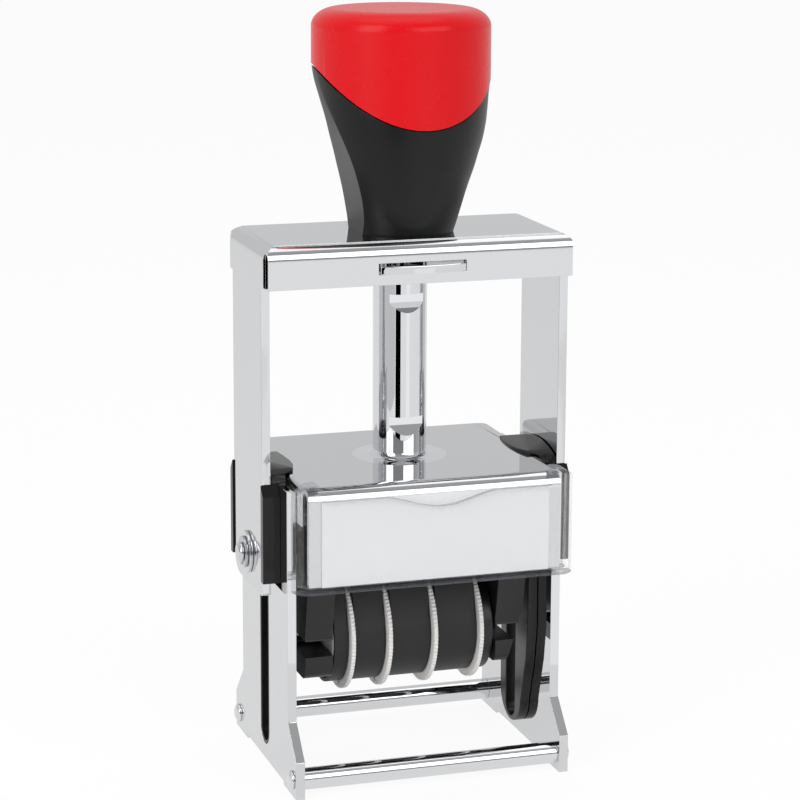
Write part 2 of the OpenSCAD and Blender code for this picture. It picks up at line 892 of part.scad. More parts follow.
// The grip, bulging to the front, hollow at the back and at both sides
module grip_loft() {
    points = [for (section = grip_sections) each grip_ring(section)];
    levels = len(grip_sections) - 1;
    sides = len(points) / (levels + 1);
    walls = [for (i = [0:levels - 1], k = [0:sides - 1]) let (
        a = i * sides + k,
        b = i * sides + (k + 1) % sides)
        each [[a, a + sides, b], [b, a + sides, b + sides]]];
    foot = [for (k = [0:sides - 1]) k];
    head = [for (k = [sides - 1:-1:0]) levels * sides + k];
    polyhedron(points, concat(walls, [foot], [head]));
}

// The round form that lies above the seam, a big cylinder tilted to the back
module seam_form(gap)
    translate([0, -cap_dia / 2, grip_seam_z])
        rotate([seam_tilt, 0, 0])
            translate([0, 0, seam_r])
                rotate([90, 0, 0])
                    cylinder(h = far, r = seam_r + gap, center = true, $fn = 96);

module handle_body()
    color("dimgray")
        difference() {
            union() {
                difference() {
                    grip_loft();
                    seam_form(seam_gap);
                }
                intersection() {
                    translate([0, 0, grip_seam_z - over])
                        cylinder(h = cap_roof_z - seat_gap - grip_seam_z + over, r = spigot_r - seat_gap);
                    seam_form(seam_gap + tight_gap);
                }
            }
            translate([0, 0, yoke_z - over])
                cylinder(h = bore_top_z - yoke_z + over, r = column_dia / 2 + bore_gap);
            for (y = [-screw_y, screw_y])
                translate([0, y, yoke_z - over])
                    cylinder(h = screw_l - yoke_t + 2 * over, d = screw_dia + 2 * tight_gap);
        }

module handle_cap()
    color("red")
        difference() {
            intersection() {
                rotate_extrude($fn = 96)
                    polygon(concat([[0, yoke_z], [cap_dia / 2, yoke_z]],
                        [for (a = [0:15:90]) [
                            (cap_flat_dia + (cap_dia - cap_flat_dia) * cos(a)) / 2,
                            handle_top - cap_edge_h + cap_edge_h * sin(a)]],
                        [[0, handle_top]]));
                seam_form(0);
            }
            translate([0, 0, yoke_z])
                cylinder(h = cap_roof_z - yoke_z, r = spigot_r);
        }

module handle_screws()
    color("gray")
        for (y = [-screw_y, screw_y])
            translate([0, y, yoke_in_z - screw_head_t]) {
                cylinder(h = screw_head_t, d1 = screw_head_dia - screw_head_round, d2 = screw_head_dia);
                cylinder(h = screw_head_t + screw_l, d = screw_dia);
            }

// Springs

// A wound wire along +Z that stands on the origin, as one tube
module spring(mean_r, wire_r, length, turns) {
    sides = 6;
    steps = 8;
    count = round(turns * steps);
    pitch = (length - 2 * wire_r) / turns;
    lean = atan(pitch / (2 * PI * mean_r));
    points = [for (i = [0:count]) let (t = 360 * i / steps)
        for (k = [0:sides - 1]) let (
            a = 360 * k / sides,
            out = mean_r + wire_r * cos(a),
            up = wire_r * sin(a))
        [out * cos(t) + up * sin(lean) * sin(t),
            out * sin(t) - up * sin(lean) * cos(t),
            wire_r + pitch * i / steps + up * cos(lean)]];
    walls = [for (i = [0:count - 1], k = [0:sides - 1]) let (
        a = i * sides + k,
        b = i * sides + (k + 1) % sides)
        each [[a, a + sides, b], [b, a + sides, b + sides]]];
    first = [for (k = [0:sides - 1]) k];
    last = [for (k = [sides - 1:-1:0]) count * sides + k];
    echo("least gap of the spring to itself", least_gap(points, steps * sides));
    polyhedron(points, concat(walls, [first], [last]));
}

// Least distance between points that lie about one turn apart
function least_gap(points, turn) =
    min([for (i = [0:len(points) - turn - 7], j = [i + turn - 6:i + turn + 6])
        norm(points[i] - points[j])]);

module return_spring()
    color("lightsteelblue")
        translate([0, 0, column_floor_z + seat_gap])
            spring(return_spring_r, return_wire_r, bore_top_z - column_floor_z - 2 * seat_gap, 26);

// The catch's spring, as long as it is with the catch pushed in
module lock_spring() {
    end_y = channel_d / 2 - yoke_t - seat_gap;
    color("lightsteelblue")
        translate([0, catch_shoulder_y + catch_push + seat_gap, catch_z + catch_t / 2])
            rotate([-90, 0, 0])
                spring(lock_spring_r, lock_wire_r, end_y - catch_shoulder_y - catch_push - seat_gap, 1.75);
}

// Pivot

module pivot_pin(side)
    color("gainsboro")
        on_side(side) {
            bar_x(cheek_in + pin_root, ring_x, pin_r, 0, pivot_z);
            bar_x(ring_x, ring_x + ring_t + seat_gap, groove_r, 0, pivot_z);
            bar_x(ring_x + ring_t + seat_gap, pin_end_x - pin_chamfer, pin_r, 0, pivot_z);
            translate([pin_end_x - pin_chamfer, 0, pivot_z])
                rotate([0, 90, 0])
                    cylinder(h = pin_chamfer, r1 = pin_r, r2 = pin_r - pin_chamfer);
        }

module pivot_washers()
    color("silver")
        for (side = [-1, 1])
            on_side(side)
                difference() {
                    bar_x(leg_out + seat_gap, leg_out + seat_gap + washer_t, washer_dia / 2, 0, pivot_z);
                    bar_x(leg_out, leg_out + far, pin_r + run_gap, 0, pivot_z);
                }

module slot_bushes()
    color("ivory")
        for (side = [-1, 1])
            on_side(side)
                difference() {
                    bar_x(cheek_out + seat_gap, leg_in - slide_gap, bush_r, 0, pivot_z);
                    bar_x(cheek_out, leg_in, pin_r + 2 * tight_gap, 0, pivot_z);
                }

module retaining_rings() {
    mouth_w = groove_r * 1.3;
    color("silver")
        for (side = [-1, 1])
            on_side(side)
                along_x(ring_x + tight_gap, ring_x + ring_t)
                    translate([0, pivot_z])
                        difference() {
                            circle(d = ring_dia);
                            circle(r = groove_r + tight_gap);
                            translate([-mouth_w / 2, -ring_dia])
                                square([mouth_w, ring_dia]);
                        }
}

// Carrier of the text unit

// Side view of a cheek: a broad head at the deck, a waist and a foot round the axle
module cheek_outline() {
    polygon([for (m = [-1, 1], p = m < 0
        ? [[cheek_foot[0] - cheek_foot_r, cheek_foot[1]], [cheek_foot[0], cheek_foot[1] + cheek_foot_r],
            [cheek_foot[0], axle_z + mouth_high], cheek_waist, cheek_head, [cheek_head[0], deck_z]]
        : [[cheek_head[0], deck_z], cheek_head, cheek_waist, [cheek_foot[0], axle_z + mouth_high],
            [cheek_foot[0], cheek_foot[1] + cheek_foot_r], [cheek_foot[0] - cheek_foot_r, cheek_foot[1]]])
        [m * p[0], p[1]]]);
    for (y = [-1, 1])
        translate([y * (cheek_foot[0] - cheek_foot_r), cheek_foot[1] + cheek_foot_r])
            circle(r = cheek_foot_r);
}

module date_frame()
    color("dimgray")
        difference() {
            union() {
                for (side = [-1, 1])
                    on_side(side)
                        along_x(cheek_in, cheek_out)
                            cheek_outline();
                block([-cheek_out, -cheek_head[0], deck_low], [cheek_out, cheek_head[0], deck_z]);
            }
            block([-window_w / 2, -deck_window_d / 2, 0], [window_w / 2, deck_window_d / 2, far]);
            bar_x(-far, far, axle_r + tight_gap, 0, axle_z);
            block([-far, -far, axle_z - mouth_low], [far, 0, axle_z + mouth_high]);
            along_y(-far, far)
                polygon([[cheek_out - cheek_slant, cheek_foot[1]], [cheek_out, axle_z + cheek_slant_h],
                    [far, axle_z + cheek_slant_h], [far, 0], [cheek_out - cheek_slant, 0]]);
            for (side = [-1, 1])
                on_side(side) {
                    bar_x(cheek_in + pin_root - seat_gap, far, pin_r + tight_gap, 0, pivot_z);
                    block([0, -platen_web / 2 - tight_gap, platen_low - tight_gap],
                        [cheek_in + platen_root + tight_gap, platen_web / 2 + tight_gap, far]);
                }
        }

module text_sheet(z0, z1, w, d)
    difference() {
        block([-w / 2, -d / 2, z0], [w / 2, d / 2, z1]);
        block([-window_w / 2, -text_window_d / 2, z0 - over], [window_w / 2, text_window_d / 2, z1 + over]);
    }

module text_plate()
    color("darkslategray")
        text_sheet(deck_z, deck_z + text_plate_t, text_w, text_d);

module text_rubber()
    color("brown")
        text_sheet(deck_z + text_plate_t, text_z, text_w - 2 * rubber_step, text_d - rubber_step);

// Bands and their platen

// What a loop round the drum and the nose encloses, with both radii less the inset
module loop_form(x0, x1, inset) {
    big = band_dia / 2 - inset;
    small = nose_dia / 2 - inset;
    lean = asin((big - small) / band_top_dist);
    bar_x(x0, x1, big, 0, axle_z);
    bar_x(x0, x1, small, 0, axle_z + band_top_dist);
    along_x(x0, x1)
        translate([0, axle_z])
            polygon([for (side = [-1, 1], end = side * [-1, 1])
                let (r = end < 0 ? big : small)
                [side * r * cos(lean), (end < 0 ? 0 : band_top_dist) + r * sin(lean)]]);
}

// Left and right ends of the drum of wheel i, which lies to the left of its rim
function drum_left(i) = i == 0 ? -drum_end : wheel_x[i - 1] + rim_t / 2 + side_gap;
function drum_right(i) = wheel_x[i] - rim_t / 2;

module band(i)
    color("darkslategray")
        difference() {
            loop_form(drum_left(i) + side_gap, drum_right(i) - side_gap, 0);
            loop_form(-far, far, band_t);
        }

module band_platen()
    color("gray") {
        bar_x(-drum_end, drum_end, nose_dia / 2 - band_t - platen_gap, 0, axle_z + band_top_dist);
        block([-drum_end, -platen_web / 2, platen_low],
            [drum_end, platen_web / 2, axle_z + band_top_dist]);
        for (side = [-1, 1])
            on_side(side)
                block([drum_end - over, -platen_web / 2, platen_low],
                    [cheek_in + platen_root, platen_web / 2, deck_z]);
    }

// Thumbwheels

module wheel_axle()
    color("silver")
        bar_x(-cheek_out + axle_step, cheek_out - axle_step, axle_r, 0, axle_z);

// Outline of a rim with pointed teeth
module rim_outline()
    polygon([for (k = [0:2 * teeth - 1])
        let (r = wheel_dia / 2 - (k % 2) * tooth_depth)
        [r * cos(180 * k / teeth), r * sin(180 * k / teeth)]]);

module wheel(i)
    color("ivory")
        difference() {
            union() {
                along_x(wheel_x[i] - rim_t / 2, wheel_x[i] + rim_t / 2)
                    translate([0, axle_z])
                        rim_outline();
                bar_x(drum_left(i), wheel_x[i], drum_r, 0, axle_z);
            }
            bar_x(-far, far, axle_r + run_gap, 0, axle_z);
        }

module drum_spacer()
    color("dimgray")
        difference() {
            bar_x(wheel_x[3] + rim_t / 2 + side_gap, drum_end, band_dia / 2, 0, axle_z);
            bar_x(-far, far, axle_r + tight_gap, 0, axle_z);
        }

side_plate(-1);  // side_plate_left
side_plate(1);  // side_plate_right
cross_rod(-rod_spacing / 2);  // cross_rod_front
cross_rod(rod_spacing / 2);  // cross_rod_rear
pad_housing();
housing_rivets();
column();
side_guide(-1);  // side_guide_left
side_guide(1);  // side_guide_right
slot_liner(-1);  // slot_liner_left
slot_liner(1);  // slot_liner_right
window_cover();
index_card();
ink_pad_tray();
ink_pad_felt();
bridge();
handle_body();
handle_cap();
handle_screws();
return_spring();
lock_spring();
lock_catch();
pivot_washers();
date_frame();
text_plate();
text_rubber();
band_platen();
pivot_pin(-1);  // pivot_pin_left
pivot_pin(1);  // pivot_pin_right
slot_bushes();
retaining_rings();
wheel_axle();
drum_spacer();
band(0);  // band_1
band(1);  // band_2
band(2);  // band_3
band(3);  // band_4
wheel(0);  // wheel_1
wheel(1);  // wheel_2
wheel(2);  // wheel_3
wheel(3);  // wheel_4
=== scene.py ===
import math
import bmesh
import bpy
from mathutils import Matrix, Vector


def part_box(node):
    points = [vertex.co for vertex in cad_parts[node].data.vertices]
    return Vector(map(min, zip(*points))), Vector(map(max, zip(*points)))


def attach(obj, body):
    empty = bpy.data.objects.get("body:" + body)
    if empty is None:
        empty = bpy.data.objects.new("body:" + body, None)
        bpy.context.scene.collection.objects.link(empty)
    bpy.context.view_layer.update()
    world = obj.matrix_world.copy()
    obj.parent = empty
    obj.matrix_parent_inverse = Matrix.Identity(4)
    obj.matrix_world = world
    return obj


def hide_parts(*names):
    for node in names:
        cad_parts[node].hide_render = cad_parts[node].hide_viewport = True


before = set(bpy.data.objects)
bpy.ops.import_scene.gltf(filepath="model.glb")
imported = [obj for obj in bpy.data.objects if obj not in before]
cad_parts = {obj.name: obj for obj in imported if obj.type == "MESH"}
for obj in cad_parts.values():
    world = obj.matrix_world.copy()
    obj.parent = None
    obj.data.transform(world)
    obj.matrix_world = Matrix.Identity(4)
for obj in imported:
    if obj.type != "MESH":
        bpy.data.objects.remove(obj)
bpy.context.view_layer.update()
mm = 0.001

cameraView = {"place": (-0.154532, -0.487148, 0.184592), "right": (0.95344, -0.30154, 0.0041),
              "up": (0.05872, 0.19896, 0.97825), "back": (-0.2958, -0.93246, 0.2074),
              "lens": 124.31, "shiftX": 0.00036, "shiftY": -0.04483}


def makeCamera():
    data = bpy.data.cameras.new("photoCamera")
    data.sensor_width = 36
    data.lens = cameraView["lens"]
    data.shift_x = cameraView["shiftX"]
    data.shift_y = cameraView["shiftY"]
    data.clip_start = 0.01
    camera = bpy.data.objects.new("photoCamera", data)
    bpy.context.collection.objects.link(camera)
    axes = Matrix((cameraView["right"], cameraView["up"], cameraView["back"])).transposed()
    camera.matrix_world = Matrix.Translation(cameraView["place"]) @ axes.to_4x4()
    bpy.context.scene.camera = camera


makeCamera()
print("camera ready")


def looseObject(bm, name):
    mesh = bpy.data.meshes.new(name)
    bm.to_mesh(mesh)
    bm.free()
    made = bpy.data.objects.new(name, mesh)
    bpy.context.collection.objects.link(made)
    return made


def newMaterial(name):
    material = bpy.data.materials.new(name)
    material.use_nodes = True
    nodes = material.node_tree.nodes
    return material, nodes, material.node_tree.links, nodes["Principled BSDF"]


def rampFrom(nodes, links, source, low, high, start=0.3, end=0.7):
    ramp = nodes.new("ShaderNodeMapRange")
    ramp.inputs["From Min"].default_value = start
    ramp.inputs["From Max"].default_value = end
    ramp.inputs["To Min"].default_value = low
    ramp.inputs["To Max"].default_value = high
    links.new(source, ramp.inputs["Value"])
    return ramp.outputs["Result"]


def largerOf(nodes, links, first, second):
    larger = nodes.new("ShaderNodeMath")
    larger.operation = "MAXIMUM"
    links.new(first, larger.inputs[0])
    links.new(second, larger.inputs[1])
    return larger.outputs[0]


def blendInto(nodes, links, share, first, second, target):
    # mixes two shaders and sends the result to the output node
    blend = nodes.new("ShaderNodeMixShader")
    links.new(share, blend.inputs[0])
    links.new(first.outputs[0], blend.inputs[1])
    links.new(second.outputs[0], blend.inputs[2])
    links.new(blend.outputs[0], target.inputs[0])


studio = {"worldColour": (0.985, 0.99, 1.0), "backGlow": 0.67, "frontGlow": 0.3,
          "frontWay": (-0.3, -0.93, 0.2), "glowFrom": -0.3, "glowTo": 0.9,
          "floorColour": (0.86, 0.86, 0.865), "floorSize": 6.0, "floorRough": 0.9, "floorShine": 0.1,
          "floorGlow": 1.02, "mirroredGlow": 0.86, "glowShare": 0.9, "mirroredShare": 0.8,
          # name, place, target, width, height, power
          "softBoxes": [("boxLeft", (-0.75, -0.45, 0.55), (0, 0, 0.07), 0.5, 0.9, 4.0),
                        ("boxFront", (0.42, -1.0, 0.62), (0.06, -0.15, 0.05), 1.0, 0.7, 4.4),
                        ("boxTop", (0.0, 0.05, 0.95), (0, 0, 0.07), 0.8, 0.6, 1.2)],
          "cardLift": 0.3 * mm,
          # name, place, turn, tilt, width at the foot and at the head, waist height, head height, glow
          "cards": [("blackFlag", (-0.108, -0.236), -24.6, 0, 0.096, 0.13, 0.055, 0.085, 0.0),
                    ("greyCard", (-0.26, -0.15), -60, 0, 0.25, 0.25, 0.04, 0.08, 0.6),
                    ("whiteCard", (0.02, -0.08), 17.6, 90, 0.09, 0.2, 0.3, 0.6, 0.99)]}


def makeWorld():
    # white for the camera, and otherwise a light that is weaker on the camera's side
    world = bpy.data.worlds.new("studio")
    bpy.context.scene.world = world
    world.use_nodes = True
    nodes, links = world.node_tree.nodes, world.node_tree.links
    nodes.clear()
    plain, white = nodes.new("ShaderNodeBackground"), nodes.new("ShaderNodeBackground")
    plain.inputs["Color"].default_value = (*studio["worldColour"], 1)
    white.inputs["Color"].default_value = (1, 1, 1, 1)
    white.inputs["Strength"].default_value = 1
    way, facing = nodes.new("ShaderNodeTexCoord"), nodes.new("ShaderNodeVectorMath")
    facing.operation = "DOT_PRODUCT"
    facing.inputs[1].default_value = studio["frontWay"]
    links.new(way.outputs["Generated"], facing.inputs[0])
    glow = rampFrom(nodes, links, facing.outputs["Value"], studio["backGlow"], studio["frontGlow"],
                    studio["glowFrom"], studio["glowTo"])
    links.new(glow, plain.inputs["Strength"])
    rays = nodes.new("ShaderNodeLightPath")
    blendInto(nodes, links, rays.outputs["Is Camera Ray"], plain, white, nodes.new("ShaderNodeOutputWorld"))


def makeSoftBox(name, place, target, width, height, power):
    data = bpy.data.lights.new(name, "AREA")
    data.shape = "RECTANGLE"
    data.size, data.size_y, data.energy = width, height, power
    lamp = bpy.data.objects.new(name, data)
    bpy.context.collection.objects.link(lamp)
    lamp.location = place
    aim = Vector(target) - Vector(place)
    lamp.rotation_euler = aim.to_track_quat("-Z", "Y").to_euler()


def makeFloor():
    # a white floor that partly glows, a little less where something mirrors it
    bm = bmesh.new()
    bmesh.ops.create_grid(bm, x_segments=1, y_segments=1, size=studio["floorSize"])
    floor = looseObject(bm, "floor")
    material, nodes, links, shader = newMaterial("floorWhite")
    shader.inputs["Base Color"].default_value = (*studio["floorColour"], 1)
    shader.inputs["Roughness"].default_value = studio["floorRough"]
    shader.inputs["Specular IOR Level"].default_value = studio["floorShine"]
    glow, rays = nodes.new("ShaderNodeEmission"), nodes.new("ShaderNodeLightPath")
    mirrored = rays.outputs["Is Glossy Ray"]
    straight = largerOf(nodes, links, rays.outputs["Is Camera Ray"], rays.outputs["Is Transmission Ray"])
    share = largerOf(nodes, links, rampFrom(nodes, links, straight, 0, studio["glowShare"], 0, 1),
                     rampFrom(nodes, links, mirrored, 0, studio["mirroredShare"], 0, 1))
    links.new(rampFrom(nodes, links, mirrored, studio["floorGlow"], studio["mirroredGlow"], 0, 1),
              glow.inputs["Strength"])
    blendInto(nodes, links, share, shader, glow, nodes["Material Output"])
    floor.data.materials.append(material)


def makeCard(name, place, turn, tilt, foot, head, waist, top, glow):
    # a card that only shiny faces mirror: even up to its waist, and wider from there to its head
    bm = bmesh.new()
    bmesh.ops.create_grid(bm, x_segments=1, y_segments=2, size=0.5)
    levels = {-1: (foot, 0), 0: (foot, waist), 1: (head, top)}
    for v in bm.verts:
        width, height = levels[round(v.co.y * 2)]
        v.co = (v.co.x * width, 0, height)
    pose = Matrix.Rotation(math.radians(turn), 3, "Z") @ Matrix.Rotation(math.radians(tilt), 3, "X")
    bmesh.ops.rotate(bm, verts=bm.verts, cent=(0, 0, 0), matrix=pose)
    bmesh.ops.translate(bm, verts=bm.verts, vec=(*place, studio["cardLift"]))
    card = looseObject(bm, name)
    card.visible_camera = card.visible_diffuse = card.visible_shadow = card.visible_transmission = False
    material, _, _, shader = newMaterial(name)
    shader.inputs["Base Color"].default_value = (0, 0, 0, 1)
    shader.inputs["Specular IOR Level"].default_value = 0
    shader.inputs["Emission Color"].default_value = (*studio["worldColour"], 1)
    shader.inputs["Emission Strength"].default_value = glow
    card.data.materials.append(material)


makeWorld()
for settings in studio["softBoxes"]:
    makeSoftBox(*settings)
makeFloor()
for settings in studio["cards"]:
    makeCard(*settings)
print("studio ready")


def noiseInto(nodes, links, scale, detail=3, stretch=(1, 1, 1)):
    place = nodes.new("ShaderNodeTexCoord")
    mapping = nodes.new("ShaderNodeMapping")
    mapping.inputs["Scale"].default_value = stretch
    noise = nodes.new("ShaderNodeTexNoise")
    noise.inputs["Scale"].default_value = scale
    noise.inputs["Detail"].default_value = detail
    links.new(place.outputs["Object"], mapping.inputs[0])
    links.new(mapping.outputs[0], noise.inputs["Vector"])
    return noise.outputs[0]


def bumpFrom(nodes, links, source, depth, strength):
    bump = nodes.new("ShaderNodeBump")
    bump.inputs["Distance"].default_value = depth
    bump.inputs["Strength"].default_value = strength
    links.new(source, bump.inputs["Height"])
    return bump.outputs["Normal"]


def tintedMaterial(name, dark, light, scale, detail=2, stretch=(1, 1, 1)):
    # a material whose colour drifts between a dark and a light tone
    material, nodes, links, shader = newMaterial(name)
    drift = noiseInto(nodes, links, scale, detail, stretch)
    mix = nodes.new("ShaderNodeMix")
    mix.data_type = "RGBA"
    mix.inputs["A"].default_value = (*dark, 1)
    mix.inputs["B"].default_value = (*light, 1)
    links.new(drift, mix.inputs["Factor"])
    links.new(mix.outputs["Result"], shader.inputs["Base Color"])
    return material, nodes, links, shader, drift


plating = {"cloudScale": 35, "roughLow": 0.85, "roughHigh": 1.15, "markDepth": 0.02 * mm}


def metalFinish(name, dark, light, rough, bump=0.0, scale=260):
    # plated metal: faint clouding, and fine marks where the face isn't a mirror
    material, nodes, links, shader, _ = tintedMaterial(name, dark, light, plating["cloudScale"])
    shader.inputs["Metallic"].default_value = 1
    marks = noiseInto(nodes, links, scale)
    links.new(rampFrom(nodes, links, marks, rough * plating["roughLow"], rough * plating["roughHigh"]),
              shader.inputs["Roughness"])
    if bump:
        links.new(bumpFrom(nodes, links, marks, plating["markDepth"], bump), shader.inputs["Normal"])
    return material


moulded = {"driftScale": 60, "rubbedScale": 120, "roughLow": 0.97, "roughHigh": 1.05, "coatRough": 0.12}


def plasticFinish(name, dark, light, rough, shine=0.5, coat=0.0, grainScale=1400, grainDepth=0.02 * mm,
                  grainStrength=0.2):
    # moulded plastic: slow colour drift, fine moulded grain and rubbed patches
    material, nodes, links, shader, _ = tintedMaterial(name, dark, light, moulded["driftScale"])
    rubbed = noiseInto(nodes, links, moulded["rubbedScale"])
    links.new(rampFrom(nodes, links, rubbed, rough * moulded["roughLow"], rough * moulded["roughHigh"]),
              shader.inputs["Roughness"])
    grain = noiseInto(nodes, links, grainScale, 2)
    links.new(bumpFrom(nodes, links, grain, grainDepth, grainStrength), shader.inputs["Normal"])
    shader.inputs["Specular IOR Level"].default_value = shine
    shader.inputs["Coat Weight"].default_value = coat
    shader.inputs["Coat Roughness"].default_value = moulded["coatRough"]
    return material


paper = {"fibreScale": 900, "fibreDetail": 6, "fibreStretch": (1, 1, 0.25), "roughLow": 0.5,
         "roughHigh": 0.62, "fibreDepth": 0.02 * mm, "fibreStrength": 0.25}


def paperFinish(name, dark, light):
    material, nodes, links, shader, fibre = tintedMaterial(name, dark, light, paper["fibreScale"],
                                                           paper["fibreDetail"], paper["fibreStretch"])
    links.new(rampFrom(nodes, links, fibre, paper["roughLow"], paper["roughHigh"]),
              shader.inputs["Roughness"])
    links.new(bumpFrom(nodes, links, fibre, paper["fibreDepth"], paper["fibreStrength"]),
              shader.inputs["Normal"])
    return material


clear = {"driftScale": 40, "rough": 0.0, "ior": 1.47, "alpha": 0.12}


def clearFinish(name, dark, light):
    # clear moulding with a faint grey-green tint
    material, _, _, shader, _ = tintedMaterial(name, dark, light, clear["driftScale"])
    shader.inputs["Roughness"].default_value = clear["rough"]
    shader.inputs["Transmission Weight"].default_value = 1
    shader.inputs["IOR"].default_value = clear["ior"]
    shader.inputs["Alpha"].default_value = clear["alpha"]
    return material


# painted shade for the clear moulding's level edges and floor: a grey colour, partly opaque
paintedEdgeShade = {"driftScale": 300, "rough": 0.12, "alpha": 0.62}


def edgeShadeFinish(name, dark, light):
    # painted shade: a grey, partly opaque colour on the level edges and the floor of the clear moulding, in
    # place of the dark lines that refraction draws there
    material, _, _, shader, _ = tintedMaterial(name, dark, light, paintedEdgeShade["driftScale"])
    shader.inputs["Roughness"].default_value = paintedEdgeShade["rough"]
    shader.inputs["Alpha"].default_value = paintedEdgeShade["alpha"]
    return material


inked = {"fibreScale": 1600, "fibreDetail": 7, "rough": 0.85, "sheen": 0.4, "fibreDepth": 0.2 * mm,
         "fibreStrength": 0.8}


def feltFinish(name, dark, light):
    material, nodes, links, shader, fibre = tintedMaterial(name, dark, light, inked["fibreScale"],
                                                           inked["fibreDetail"])
    shader.inputs["Roughness"].default_value = inked["rough"]
    shader.inputs["Sheen Weight"].default_value = inked["sheen"]
    links.new(bumpFrom(nodes, links, fibre, inked["fibreDepth"], inked["fibreStrength"]),
              shader.inputs["Normal"])
    return material


finishes = {
    "chrome": metalFinish("chromePlate", (0.74, 0.745, 0.755), (0.755, 0.76, 0.77), 0.035),
    "yokeChrome": metalFinish("yokeChrome", (0.705, 0.71, 0.72), (0.725, 0.73, 0.74), 0.05),
    "columnChrome": metalFinish("columnChrome", (0.79, 0.795, 0.815), (0.81, 0.815, 0.83), 0.02),
    "housingChrome": metalFinish("housingChrome", (0.69, 0.695, 0.705), (0.71, 0.715, 0.725), 0.04),
    "rivet": metalFinish("rivetSteel", (0.66, 0.67, 0.69), (0.72, 0.73, 0.75), 0.14, bump=0.1, scale=500),
    "spring": metalFinish("springSteel", (0.50, 0.51, 0.53), (0.60, 0.61, 0.63), 0.2, bump=0.1, scale=700),
    "guide": plasticFinish("guideBlack", (0.0035, 0.003, 0.003), (0.006, 0.005, 0.0045), 0.22, 0.3, 0.1),
    "liner": plasticFinish("linerBlack", (0.006, 0.006, 0.0065), (0.010, 0.010, 0.0105), 0.3, 0.45),
    "grip": plasticFinish("gripCharcoal", (0.0042, 0.0043, 0.005), (0.0056, 0.0057, 0.0066), 0.36, 0.3,
                          grainScale=2200, grainDepth=0.03 * mm),
    "cap": plasticFinish("capRed", (0.755, 0.0025, 0.0065), (0.775, 0.003, 0.0075), 0.27, 0.24,
                         grainScale=1800, grainDepth=0.01 * mm, grainStrength=0.05),
    "carrier": plasticFinish("carrierBlack", (0.009, 0.0085, 0.009), (0.014, 0.013, 0.014), 0.36),
    "tray": plasticFinish("trayBlack", (0.02, 0.02, 0.021), (0.03, 0.03, 0.032), 0.45),
    "textPlate": plasticFinish("textPlateGrey", (0.04, 0.04, 0.045), (0.055, 0.055, 0.06), 0.5),
    "textRubber": plasticFinish("stampRubber", (0.24, 0.05, 0.04), (0.30, 0.065, 0.05), 0.6,
                                grainScale=900, grainDepth=0.05 * mm),
    "band": plasticFinish("bandRubber", (0.010, 0.0098, 0.0105), (0.014, 0.0135, 0.0145), 0.5,
                          grainScale=1100, grainDepth=0.04 * mm, grainStrength=0.25),
    "bush": plasticFinish("bushNylon", (0.70, 0.69, 0.64), (0.78, 0.77, 0.73), 0.5),
    "wheel": plasticFinish("wheelCream", (0.93, 0.91, 0.88), (0.96, 0.94, 0.915), 0.4),
    "card": paperFinish("cardPale", (0.845, 0.85, 0.86), (0.87, 0.875, 0.885)),
    "cover": clearFinish("coverClear", (0.94, 0.955, 0.95), (0.97, 0.98, 0.975)),
    # painted shade along the cover's level edges and floor
    "coverEdgeShade": edgeShadeFinish("coverEdgeShade", (0.26, 0.275, 0.305), (0.42, 0.44, 0.47)),
    "felt": feltFinish("inkedFelt", (0.02, 0.025, 0.10), (0.05, 0.06, 0.20)),
}
print("finishes ready:", len(finishes))


def finishPiece(bm, name, finish, body, replaced, smoothAngle=32):
    piece = looseObject(bm, name)
    piece.data.materials.append(finishes[finish])
    piece.data.shade_smooth()
    piece.data.set_sharp_from_angle(angle=math.radians(smoothAngle))
    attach(piece, body)
    if replaced:
        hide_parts(*replaced)
    return piece


def weightNormals(piece):
    weighted = piece.modifiers.new("evenShine", "WEIGHTED_NORMAL")
    weighted.keep_sharp = True
    weighted.weight = 90


def crispEdges(bm, angle):
    return [e for e in bm.edges if e.is_manifold and e.calc_face_angle(0) > math.radians(angle)]


def bevelEdges(bm, edges, width, segments=2):
    bmesh.ops.bevel(bm, geom=edges, offset=width, offset_type="OFFSET", segments=segments, profile=0.5,
                    affect="EDGES", clamp_overlap=True, material=-1)


refining = {"merge": 0.002 * mm, "flatAngle": 0.4, "crispAngle": 38}


def refineNode(node, finish, body, edge, name, reshape=None):
    # a merged copy of the CAD solid whose crisp edges get a small round
    bm = bmesh.new()
    bm.from_mesh(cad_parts[node].data)
    bmesh.ops.remove_doubles(bm, verts=bm.verts, dist=refining["merge"])
    bmesh.ops.dissolve_limit(bm, angle_limit=math.radians(refining["flatAngle"]), verts=bm.verts,
                             edges=bm.edges, delimit=set())
    if reshape:
        reshape(bm)
    bevelEdges(bm, crispEdges(bm, refining["crispAngle"]), edge)
    weightNormals(finishPiece(bm, name, finish, body, [node]))


def ringOf(bm, points):
    # the edges of a closed ring from create_circle, moved onto the given points
    verts = bmesh.ops.create_circle(bm, cap_ends=False, segments=len(points), radius=1)["verts"]
    for v, p in zip(verts, points):
        v.co = p
    return [next(e for e in v.link_edges if after in e.verts)
            for v, after in zip(verts, verts[1:] + verts[:1])]


def loftRings(rings, closed=False):
    # bridges rings of points in turn, then fills both ends or joins the last ring to the first
    bm = bmesh.new()
    loops = [ringOf(bm, points) for points in rings]
    for first, second in zip(loops, loops[1:] + (loops[:1] if closed else [])):
        bmesh.ops.bridge_loops(bm, edges=first + second)
    if not closed:
        for end in (loops[0], loops[-1]):
            bmesh.ops.contextual_create(bm, geom=end)
    bmesh.ops.recalc_face_normals(bm, faces=bm.faces)
    return bm


def prismAlong(axis, outline, start, end, name):
    # a prism along axis 0, 1 or 2, whose outline gives the two other coordinates
    rings = [[Vector((*p[:axis], place, *p[axis:])) for p in outline] for place in (start, end)]
    return looseObject(loftRings(rings), name)


turning = {"merge": 0.001 * mm}


